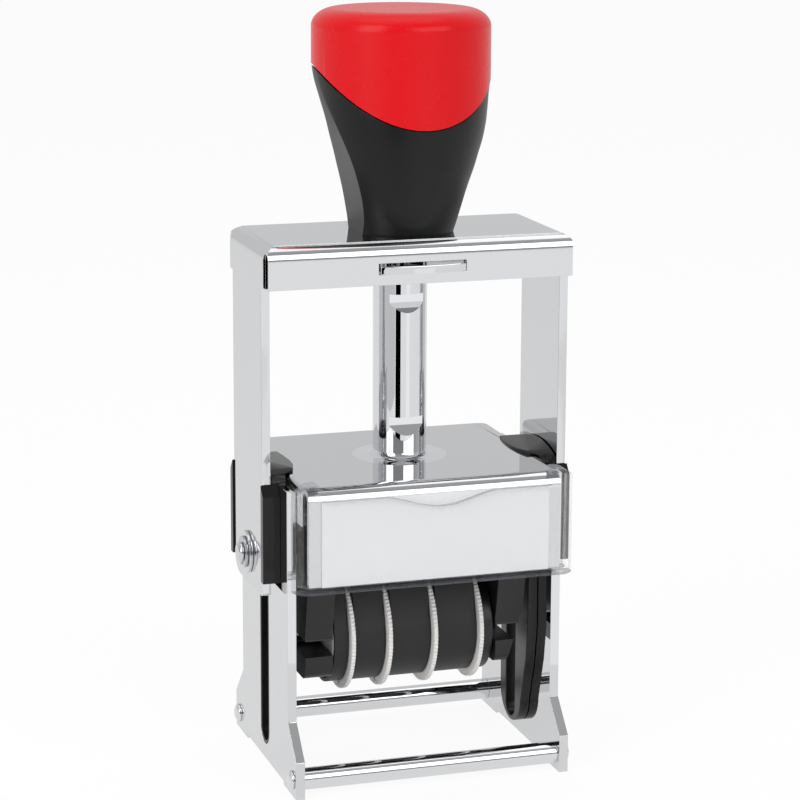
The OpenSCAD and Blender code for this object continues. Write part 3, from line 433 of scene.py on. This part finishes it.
def spunSolid(profile, steps=144):
    # a closed profile of (radius, height) turned once round the Z axis
    bm = bmesh.new()
    verts = [bm.verts.new((r, 0, z)) for r, z in profile]
    edges = [bm.edges.new((v, after)) for v, after in zip(verts, verts[1:] + verts[:1])]
    bmesh.ops.spin(bm, geom=verts + edges, cent=(0, 0, 0), axis=(0, 0, 1), angle=2 * math.pi, steps=steps,
                   use_merge=True)
    bmesh.ops.remove_doubles(bm, verts=bm.verts, dist=turning["merge"])
    bmesh.ops.recalc_face_normals(bm, faces=bm.faces)
    return bm


def quarterTurn(steps):
    return [math.pi / 2 * k / steps for k in range(steps + 1)]


def cutWith(body, cutter, operation="DIFFERENCE"):
    # cuts the body for good and removes the cutter
    cut = body.modifiers.new("cut", "BOOLEAN")
    cut.operation = operation
    cut.solver = "EXACT"
    cut.object = cutter
    graph = bpy.context.evaluated_depsgraph_get()
    mesh = bpy.data.meshes.new_from_object(body.evaluated_get(graph))
    body.modifiers.clear()
    body.data = mesh
    bpy.data.objects.remove(cutter)


def reopened(body, merge):
    # the mesh of a cut body, opened again for editing, in place of the body
    bm = bmesh.new()
    bm.from_mesh(body.data)
    bpy.data.objects.remove(body)
    bmesh.ops.remove_doubles(bm, verts=bm.verts, dist=merge)
    return bm


softening = {"merge": 0.003 * mm, "crispAngle": 50}


def softenCuts(body, width):
    # rounds the crisp edges that a cut leaves
    bm = reopened(body, softening["merge"])
    bevelEdges(bm, crispEdges(bm, softening["crispAngle"]), width)
    return bm


handle = {"foot": 102.1 * mm, "top": 143.4 * mm, "radius": 16.65 * mm, "seamHeight": 122.5 * mm,
          "seamRadius": 23 * mm, "seamTilt": 11, "seamLength": 200 * mm, "seamSteps": 220}


def seamCutter(gap):
    # the big tilted cylinder whose surface is the seam between cap and grip
    bm = bmesh.new()
    radius = handle["seamRadius"]
    bmesh.ops.create_cone(bm, cap_ends=True, segments=handle["seamSteps"], radius1=radius + gap,
                          radius2=radius + gap, depth=handle["seamLength"])
    bmesh.ops.rotate(bm, verts=bm.verts, cent=(0, 0, 0), matrix=Matrix.Rotation(math.pi / 2, 3, "X"))
    bmesh.ops.translate(bm, verts=bm.verts, vec=(0, 0, radius))
    bmesh.ops.rotate(bm, verts=bm.verts, cent=(0, 0, 0),
                     matrix=Matrix.Rotation(math.radians(handle["seamTilt"]), 3, "X"))
    bmesh.ops.translate(bm, verts=bm.verts, vec=(0, -handle["radius"], handle["seamHeight"]))
    return looseObject(bm, "seamCutter")


cap = {"foot": 16 * mm, "flatRadius": 12.0 * mm, "edgeHeight": 3.3 * mm, "edgeSteps": 14, "edgeAcross": 0.95,
       "edgeUp": 1.05, "wall": 2 * mm, "roof": 2.2 * mm, "steps": 180, "seamRound": 0.18 * mm}


def makeCap():
    foot, top, radius = handle["foot"] + cap["foot"], handle["top"], handle["radius"]
    edge, flat, inside, roof = cap["edgeHeight"], cap["flatRadius"], radius - cap["wall"], top - cap["roof"]
    profile = [(radius, foot), (radius, top - edge)]
    profile += [(flat + (radius - flat) * math.cos(a) ** cap["edgeAcross"],
                 top - edge + edge * math.sin(a) ** cap["edgeUp"]) for a in quarterTurn(cap["edgeSteps"])[1:]]
    profile += [(flat / 2, top), (0.0, top), (0.0, roof), (inside, roof), (inside, foot)]
    body = looseObject(spunSolid(profile, cap["steps"]), "capTurned")
    cutWith(body, seamCutter(0), "INTERSECT")
    piece = finishPiece(softenCuts(body, cap["seamRound"]), "capShell", "cap", "press", ["handle_cap"],
                        40)
    weightNormals(piece)


grip = {"seamGap": 0.24 * mm, "seamRound": 0.15 * mm, "boreRadius": 5.2 * mm, "boreSteps": 64,
        "boreLength": 80 * mm, "rings": 56, "arcSteps": 44, "sideSteps": 6,
        # in mm: height above the foot, half width, front, front corners, rear corners, rear
        "sections": (
            (0, 8.85, -10.1, -4.8, 4.3, 9.7), (2.5, 9.05, -11.3, -6.4, 4.7, 9.8),
            (5, 9.45, -12.5, -7.4, 4.8, 9.9), (7.5, 10, -13.4, -8, 4.5, 10),
            (10, 10.7, -14.2, -8.4, 4, 10.15), (12.5, 11.5, -14.9, -8.7, 3.3, 10.25),
            (15, 12.35, -15.5, -8.5, 2.3, 10.4), (17.5, 13.3, -16.05, -8.05, 1.2, 10.7),
            (20, 14.2, -16.45, -7.1, 0.1, 11.3), (22, 14.85, -16.6, -6, -0.6, 12),
            (24, 15.45, -16.65, -4.6, -1, 13), (26, 15.9, -16.65, -3.2, -0.8, 14.2),
            (28, 16.3, -16.65, -2.1, 0, 15.3), (30, 16.5, -16.65, -1.4, 0.8, 16.2),
            (32, 16.6, -16.65, -1.16, 1.16, 16.65), (34, 16.6, -16.65, -1.16, 1.16, 16.65))}


def sectionAt(height):
    # smooth values between the sections of the grip
    sections = grip["sections"]
    last = len(sections) - 1
    k = max(i for i in range(last + 1) if sections[i][0] <= height + 1e-9)
    if k == last:
        return sections[last][1:]
    before, a, b, after = sections[max(0, k - 1)], sections[k], sections[k + 1], sections[min(last, k + 2)]
    step = b[0] - a[0]
    t = (height - a[0]) / step
    values = []
    for i in range(1, 6):
        slopeA = (b[i] - before[i]) / (b[0] - before[0]) * step
        slopeB = (after[i] - a[i]) / (after[0] - a[0]) * step
        values.append((2 * t**3 - 3 * t**2 + 1) * a[i] + (t**3 - 2 * t**2 + t) * slopeA
                      + (3 * t**2 - 2 * t**3) * b[i] + (t**3 - t**2) * slopeB)
    return values


def sideArc(halfWidth, edge, end):
    # an arc over the whole width, from one corner through the end to the other corner
    depth = end - edge
    radius = (halfWidth**2 + depth**2) / (2 * depth)
    middle = end - radius
    lean = math.atan2(edge - middle, halfWidth)
    arc = []
    for k in range(grip["arcSteps"] + 1):
        t = lean + (math.pi - 2 * lean) * k / grip["arcSteps"]
        arc.append((radius * math.cos(t), middle + radius * math.sin(t)))
    return arc


def sideLine(x, start, end):
    steps = grip["sideSteps"]
    return [(x, start + (end - start) * k / steps) for k in range(1, steps)]


def gripRing(height):
    halfWidth, front, frontEdge, rearEdge, rear = sectionAt(height)
    frontArc = [(-x, -y) for x, y in sideArc(halfWidth, -frontEdge, -front)]
    outline = (sideArc(halfWidth, rearEdge, rear) + sideLine(-halfWidth, rearEdge, frontEdge)
               + frontArc + sideLine(halfWidth, frontEdge, rearEdge))
    return [Vector((x * mm, y * mm, handle["foot"] + height * mm)) for x, y in outline]


def makeGrip():
    total = grip["sections"][-1][0]
    rings = [gripRing(total * i / grip["rings"]) for i in range(grip["rings"] + 1)]
    body = looseObject(loftRings(rings), "gripTurned")
    cutWith(body, seamCutter(grip["seamGap"]))
    bore = bmesh.new()
    bmesh.ops.create_cone(bore, cap_ends=True, segments=grip["boreSteps"], radius1=grip["boreRadius"],
                          radius2=grip["boreRadius"], depth=grip["boreLength"],
                          matrix=Matrix.Translation((0, 0, handle["foot"])))
    cutWith(body, looseObject(bore, "gripDrill"))
    piece = finishPiece(softenCuts(body, grip["seamRound"]), "gripShell", "grip", "press", ["handle_body"],
                        24)
    weightNormals(piece)


# the flank is radius and height above the grip's foot, in mm, inside the grip at every height
gripCore = {"foot": 14 * mm, "roof": 2.3 * mm, "bore": 5.3 * mm,
            "flank": ((9, 14), (11.3, 22), (12.3, 24), (13.5, 26), (14.6, 28), (15.5, 30), (15.8, 32))}


def makeGripCore():
    # closes the seam from inside
    low, high, bore = handle["foot"] + gripCore["foot"], handle["top"] - gripCore["roof"], gripCore["bore"]
    flank = [(radius * mm, handle["foot"] + height * mm) for radius, height in gripCore["flank"]]
    profile = [(bore, low)] + flank + [(flank[-1][0], high), (bore, high)]
    finishPiece(spunSolid(profile), "gripCore", "grip", "press", [])


makeCap()
makeGrip()
makeGripCore()
print("handle ready")

# finish, body, slot, width of the round in mm, name
metalwork = {
    "bridge": ("yokeChrome", "press", "chrome_plate", 0.16, "yokeSheet"),
    "side_plate_left": ("chrome", "base", "chrome_plate", 0.14, "plateLeft"),
    "side_plate_right": ("chrome", "base", "chrome_plate", 0.14, "plateRight"),
    "cross_rod_front": ("columnChrome", "base", "chrome_plate", 0.12, "rodFront"),
    "cross_rod_rear": ("columnChrome", "base", "chrome_plate", 0.12, "rodRear"),
    "lock_catch": ("chrome", "catch", "chrome_plate", 0.16, "catchSlide"),
    "pivot_washers": ("rivet", "press", "chrome_plate", 0.1, "washers"),
    "retaining_rings": ("spring", "date_unit", "spring_steel", 0.08, "clipRings"),
    "pivot_pin_left": ("rivet", "date_unit", "rivet_steel", 0.14, "pinLeft"),
    "pivot_pin_right": ("rivet", "date_unit", "rivet_steel", 0.14, "pinRight"),
    "wheel_axle": ("rivet", "date_unit", "rivet_steel", 0.15, "axleRod"),
    "handle_screws": ("rivet", "press", "rivet_steel", 0.12, "gripScrews"),
}
for node, (finish, body, slotName, edge, name) in metalwork.items():
    refineNode(node, finish, body, edge * mm, name)

housing = {"wallWas": 21.7 * mm, "wallHalf": 24.25 * mm, "wallFront": -20 * mm, "wallNear": 0.05 * mm,
           "near": 0.01 * mm, "cornerRound": 0.9 * mm, "cornerSteps": 5, "edge": 0.14 * mm}


def widenWall(bm):
    # draws the front wall out to the sides and rounds its upright corners
    near, half = housing["near"], housing["wallHalf"]
    moved = [v for v in bm.verts if v.co.y < housing["wallFront"] + near
             and abs(abs(v.co.x) - housing["wallWas"]) < housing["wallNear"]]
    for v in moved:
        v.co.x = math.copysign(half, v.co.x)
    front = min(v.co.y for v in bm.verts)
    upright = [e for e in bm.edges if all(abs(v.co.y - front) < near and abs(abs(v.co.x) - half) < near
                                          for v in e.verts)]
    bevelEdges(bm, upright, housing["cornerRound"], housing["cornerSteps"])


refineNode("pad_housing", "housingChrome", "base", housing["edge"], "housingCap", widenWall)

column = {"radius": 5.1 * mm, "bore": 3.4 * mm, "floor": 60.0 * mm, "deck": 58.9 * mm, "steps": 160,
          "ring": 0.8 * mm, "merge": 0.002 * mm, "flare": 9.0 * mm, "flareSteps": 22, "flareSpacing": 1.5,
          "flareRise": 0.98 * mm, "flarePower": 3.2, "tightReach": 1.5 * mm, "skirtRise": 0.2 * mm,
          "skirtPower": 1.6, "rimInset": 0.05 * mm, "rimDrop": 0.03 * mm, "neckDrop": 0.05 * mm,
          "stakeNeck": 4.2 * mm, "stakeTop": 57.7 * mm, "notchFlat": -3.9 * mm,
          "notchHeights": (90.5 * mm, 67.0 * mm), "flatHeight": 1.6 * mm, "rampHeight": 1.9 * mm,
          "topFlat": 95.3 * mm, "reach": 8 * mm}


def flareHeight(radius):
    # a steep rise close to the tube on top of a broad, low skirt
    tight = max(0.0, (column["radius"] + column["tightReach"] - radius) / column["tightReach"])
    broad = (column["flare"] - radius) / (column["flare"] - column["radius"])
    rise = column["flareRise"] * tight ** column["flarePower"]
    return rise + column["skirtRise"] * broad ** column["skirtPower"]


def columnProfile(low, high):
    bore, floor, radius, flare = column["bore"], column["floor"], column["radius"], column["flare"]
    deck, neck, stake = column["deck"], column["stakeNeck"], column["stakeTop"]
    foot = deck + flareHeight(radius)
    steps, spread = round((high - foot) / column["ring"]), column["flareSteps"]
    tube = [(radius, high + (foot - high) * k / steps) for k in range(1, steps)]
    reaches = [radius + (flare - radius) * (k / spread) ** column["flareSpacing"] for k in range(spread + 1)]
    return ([(0, floor), (bore, floor), (bore, high), (radius, high)] + tube
            + [(r, deck + flareHeight(r)) for r in reaches]
            + [(flare - column["rimInset"], deck - column["rimDrop"]), (neck, deck - column["neckDrop"]),
               (neck, stake), (radius, stake), (radius, low), (0, low)])


def columnCuts(high):
    # side views of the flat at the top and of the two lock notches, as points of (y, z)
    flat, reach, flatHeight = column["notchFlat"], column["reach"], column["flatHeight"]
    shapes = [[(flat, column["topFlat"]), (-reach, column["topFlat"]), (-reach, high + reach),
               (flat, high + reach)]]
    for top in column["notchHeights"]:
        end = top - flatHeight - column["rampHeight"]
        shapes.append([(flat, top), (-reach, top), (-reach, end), (-column["radius"], end),
                       (flat, top - flatHeight)])
    return shapes


def makeColumn():
    low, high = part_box("column")
    body = looseObject(spunSolid(columnProfile(low.z, high.z), column["steps"]), "columnTurned")
    for shape in columnCuts(high.z):
        cutWith(body, prismAlong(0, shape, -column["reach"], column["reach"], "columnCutter"))
    finishPiece(reopened(body, column["merge"]), "columnTube", "columnChrome", "base", ["column"],
                24)


makeColumn()
print("metalwork ready")

# finish, body, slot, width of the round in mm, name
mouldings = {
    "side_guide_left": ("guide", "base", "guide_plastic", 0.2, "guideLeft"),
    "side_guide_right": ("guide", "base", "guide_plastic", 0.2, "guideRight"),
    "slot_liner_left": ("liner", "base", "liner_plastic", 0.25, "linerLeft"),
    "slot_liner_right": ("liner", "base", "liner_plastic", 0.25, "linerRight"),
    "date_frame": ("carrier", "date_unit", "frame_plastic", 0.3, "carrier"),
    "drum_spacer": ("carrier", "date_unit", "frame_plastic", 0.2, "spacer"),
    "band_platen": ("carrier", "date_unit", "frame_plastic", 0.1, "platen"),
    "ink_pad_tray": ("tray", "ink_pad", "tray_plastic", 0.3, "padTray"),
    "text_plate": ("textPlate", "date_unit", "text_plate", 0.15, "textPlateSheet"),
    "text_rubber": ("textRubber", "date_unit", "text_rubber", 0.1, "textRubberSheet"),
    "band_1": ("band", "date_unit", "band_rubber", 0.12, "bandOne"),
    "band_2": ("band", "date_unit", "band_rubber", 0.12, "bandTwo"),
    "band_3": ("band", "date_unit", "band_rubber", 0.12, "bandThree"),
    "band_4": ("band", "date_unit", "band_rubber", 0.12, "bandFour"),
}
for node, (finish, body, slotName, edge, name) in mouldings.items():
    refineNode(node, finish, body, edge * mm, name)

cover = {"half": 27 * mm, "front": -24.05 * mm, "back": -20.1 * mm, "low": 39.6 * mm, "top": 56.9 * mm,
         "endRound": 3.0 * mm, "endSteps": 12, "wall": 1.1 * mm, "floor": 0.95 * mm, "roof": 1.0 * mm,
         "hookTop": 59.95 * mm, "hookWidth": 4.9 * mm, "hookRound": 3.7 * mm, "hookSteps": 12,
         "hookInside": 0.9 * mm, "insideSteps": 3, "notchFrom": -10.2 * mm, "notchTo": 11.8 * mm,
         "notchDeep": 2.3 * mm, "notchSteps": 40, "notchPower": 0.8, "over": 5 * mm, "cutFrom": -40 * mm,
         "cutTo": -10 * mm, "edge": 0.22 * mm, "edgeSlope": 0.6}


def coverPlan(inset, back):
    # plan of the cover with round front corners, as points of (x, y)
    half, front, radius = cover["half"] - inset, cover["front"] + inset, cover["endRound"] - inset
    points = [(half, back)]
    points += [(half - radius + radius * math.cos(a), front + radius - radius * math.sin(a))
               for a in quarterTurn(cover["endSteps"])]
    return points + [(-x, y) for x, y in reversed(points)]


def coverSkyline():
    # front view of what is cut away above the cover, with round hooks and the finger notch
    half, radius, top, small = cover["half"], cover["hookRound"], cover["hookTop"], cover["hookInside"]
    inner, over, steps = half - cover["hookWidth"], cover["over"], cover["notchSteps"]
    right = [(half + over, top - radius), (half, top - radius)]
    right += [(half - radius + radius * math.cos(a), top - radius + radius * math.sin(a))
              for a in quarterTurn(cover["hookSteps"])[1:]]
    right += [(inner + small - small * math.sin(a), top - small + small * math.cos(a))
              for a in quarterTurn(cover["insideSteps"])]
    right.append((inner, cover["top"]))
    notch = []
    for k in range(steps + 1):
        x = cover["notchTo"] + (cover["notchFrom"] - cover["notchTo"]) * k / steps
        dip = (0.5 - 0.5 * math.cos(2 * math.pi * k / steps)) ** cover["notchPower"]
        notch.append((x, cover["top"] - cover["notchDeep"] * dip))
    left = [(-x, z) for x, z in reversed(right)]
    return right + notch + left + [(-half - over, top + over), (half + over, top + over)]


def makeCover():
    low, top, back = cover["low"], cover["hookTop"], cover["back"]
    body = prismAlong(2, coverPlan(0, back), low, top, "coverBlock")
    cutWith(body, prismAlong(2, coverPlan(cover["wall"], back + cover["over"]), low + cover["floor"],
                             top - cover["roof"], "coverHollow"))
    cutWith(body, prismAlong(1, coverSkyline(), cover["cutFrom"], cover["cutTo"], "coverSkyline"))
    bm = softenCuts(body, cover["edge"])
    bm.normal_update()
    for face in bm.faces:
        # the wall's level edges and floor take the painted edge shade, and its other faces stay clear
        face.material_index = int(abs(face.normal.z) > cover["edgeSlope"])
    piece = finishPiece(bm, "coverShell", "cover", "base", ["window_cover"], 40)
    piece.data.materials.append(finishes["coverEdgeShade"])


makeCover()
print("mouldings ready")

wheels = {"radius": 11.4 * mm, "teeth": 92, "toothSteps": 6, "toothDepth": 0.2 * mm, "rim": 0.9 * mm,
          "edge": 0.12 * mm, "edgeMiddle": 0.4, "faceScale": 0.965, "edgeScale": 0.992, "axle": 25.2 * mm,
          "centres": (-12.33, -5.04, 3.94, 13.12), "drum": 8.85 * mm, "bore": 1.55 * mm}


def wheelRings(low, middle):
    # from the bore out to the drum, over the toothed rim and back to the bore
    axle, half, edge = wheels["axle"], wheels["rim"] / 2, wheels["edge"]
    steps, between = wheels["teeth"] * wheels["toothSteps"], wheels["edge"] * wheels["edgeMiddle"]
    turns = [2 * math.pi * k / steps for k in range(steps)]
    outline = []
    for a in turns:
        r = wheels["radius"] - wheels["toothDepth"] * (1 - abs(math.sin(a * wheels["teeth"] / 2)))
        outline.append((r * math.cos(a), r * math.sin(a)))
    rings = [[Vector((x, r * math.cos(a), axle + r * math.sin(a))) for a in turns]
             for x, r in ((low, wheels["bore"]), (low, wheels["drum"]), (middle - half, wheels["drum"]),
                          (middle + half, wheels["bore"]))]
    rim = [[Vector((middle + x, y * scale, axle + z * scale)) for y, z in outline]
           for x, scale in ((-half, wheels["faceScale"]), (-half + between, wheels["edgeScale"]),
                            (-half + edge, 1.0), (half - edge, 1.0), (half - between, wheels["edgeScale"]),
                            (half, wheels["faceScale"]))]
    return rings[:3] + rim + rings[3:]


def makeWheel(i):
    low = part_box(f"wheel_{i + 1}")[0]
    rings = wheelRings(low.x, wheels["centres"][i] * mm)
    finishPiece(loftRings(rings, closed=True), f"thumbwheel{i + 1}", "wheel", f"thumbwheel_{i + 1}",
                [f"wheel_{i + 1}"], 45)


for i in range(4):
    makeWheel(i)
print("thumbwheels ready")

felt = {"edge": 0.5 * mm, "edgeSteps": 3, "long": 5 * mm, "cuts": 24}


def makeFelt():
    low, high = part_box("ink_pad_felt")
    size, middle = high - low, (high + low) / 2
    bm = bmesh.new()
    bmesh.ops.create_cube(bm, size=1, matrix=Matrix.Translation(middle) @ Matrix.Diagonal((*size, 1)))
    bevelEdges(bm, list(bm.edges), felt["edge"], felt["edgeSteps"])
    bmesh.ops.subdivide_edges(bm, edges=[e for e in bm.edges if e.calc_length() > felt["long"]],
                              cuts=felt["cuts"], use_grid_fill=True)
    piece = finishPiece(bm, "inkFelt", "felt", "ink_pad", ["ink_pad_felt"], 60)


makeFelt()
print("ink pad ready")

carriedOver = {"housing_rivets": "rivet", "index_card": "card", "return_spring": "spring",
               "lock_spring": "spring", "slot_bushes": "bush"}
for node, finish in carriedOver.items():
    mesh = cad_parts[node].data
    mesh.materials.clear()
    mesh.materials.append(finishes[finish])
print("carried-over nodes dressed")

bpy.context.scene.view_settings.view_transform = "Standard"
